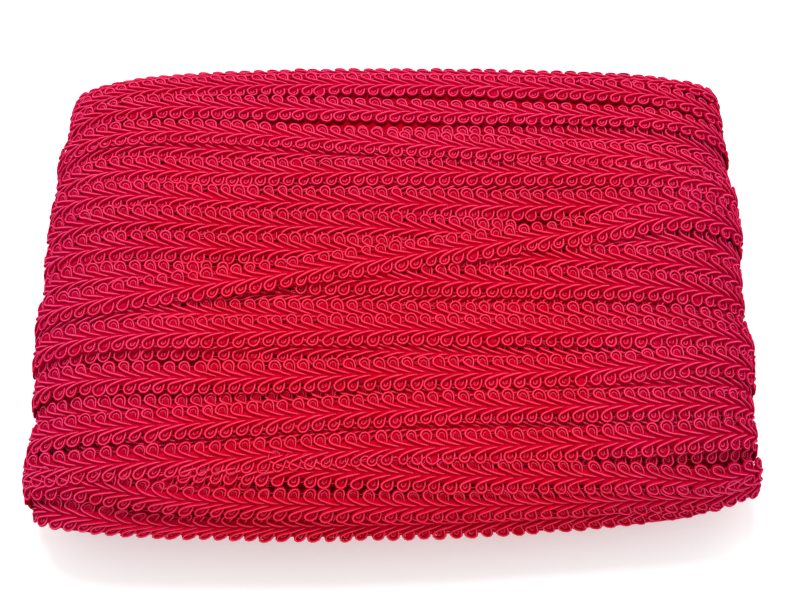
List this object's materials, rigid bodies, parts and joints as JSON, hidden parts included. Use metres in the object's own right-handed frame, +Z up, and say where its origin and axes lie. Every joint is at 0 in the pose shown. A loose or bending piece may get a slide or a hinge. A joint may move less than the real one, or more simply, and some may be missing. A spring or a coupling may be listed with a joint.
{
  "type": "roll of gimp braid trim",
  "caption": "Flat bundle of looped-edge gimp braid, wound round and round lengthways, for edging upholstery, lampshades and crafts.",
  "frame": {"origin": "on the floor, under the middle of the bundle's box", "axes": "+X along the length that the braid runs in, +Y to the back edge, +Z up through the thickness"},
  "size_m": [0.247, 0.1768, 0.0475],
  "materials": {
    "braid": "cherry red spun cord, soft sheen, looped edges"
  },
  "bodies": {
    "root": {"gimp_braid_roll": "braid"}
  },
  "joints": []
}
